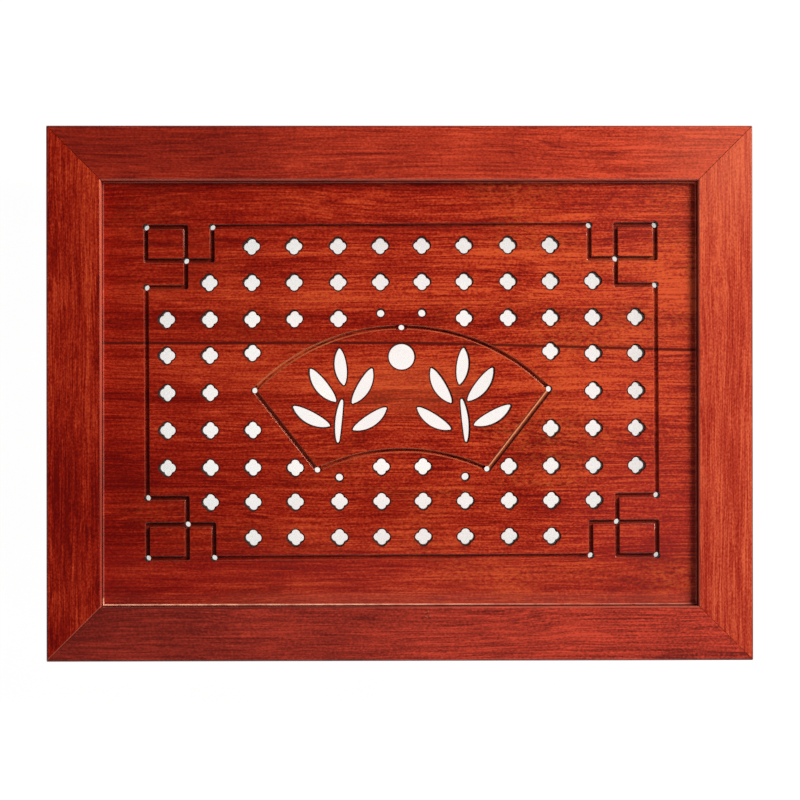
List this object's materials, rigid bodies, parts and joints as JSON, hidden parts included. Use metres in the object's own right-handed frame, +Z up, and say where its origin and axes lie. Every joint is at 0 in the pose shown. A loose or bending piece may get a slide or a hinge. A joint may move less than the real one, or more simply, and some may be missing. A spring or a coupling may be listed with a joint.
{
  "type": "inset tea tray",
  "caption": "Framed hardwood tea tray, pierced and grooved for draining, that lifts off a white drip pan with a capped drain nozzle and drops into a table cut-out.",
  "frame": {"origin": "centre of the drip pan's underside, on the surface the tray stands on, below the middle of the frame", "axes": "+X along the tray's long side, +Y towards the back edge with the drain nozzle, +Z up"},
  "size_m": [0.45, 0.341, 0.064],
  "materials": {
    "rail_wood": "red-brown hardwood, lacquered to a soft gloss",
    "panel_wood": "red-brown hardwood, lacquered to a soft gloss",
    "inner_wood": "oiled hardwood",
    "pad_silicone": "translucent silicone",
    "pan_plastic": "white moulded polypropylene",
    "nozzle_brass": "turned brass",
    "gasket_rubber": "black rubber",
    "cap_silicone": "soft silicone"
  },
  "bodies": {
    "pan": {"drip_pan": "pan_plastic", "drain_nozzle": "nozzle_brass", "nozzle_gasket": "gasket_rubber", "nozzle_nut": "nozzle_brass"},
    "tray_top": {"front_rail": "rail_wood", "back_rail": "rail_wood", "left_rail": "rail_wood", "right_rail": "rail_wood", "panel_board_back": "panel_wood", "panel_board_middle": "panel_wood", "panel_board_front": "panel_wood", "batten_left": "inner_wood", "batten_right": "inner_wood", "corner_tenon_front_left": "inner_wood", "corner_tenon_front_right": "inner_wood", "corner_tenon_back_right": "inner_wood", "corner_tenon_back_left": "inner_wood", "cushion_pad_front_left": "pad_silicone", "cushion_pad_front_right": "pad_silicone", "cushion_pad_back_right": "pad_silicone", "cushion_pad_back_left": "pad_silicone"},
    "cap": {"nozzle_cap": "cap_silicone"}
  },
  "joints": [
    {"name": "tray_lift", "type": "slide", "parent": "pan", "child": "tray_top", "axis": [0, 0, 1], "range_m": [0, 0.08]},
    {"name": "cap_pull", "type": "slide", "parent": "pan", "child": "cap", "axis": [0, 1, 0], "range_m": [0, 0.025]}
  ]
}
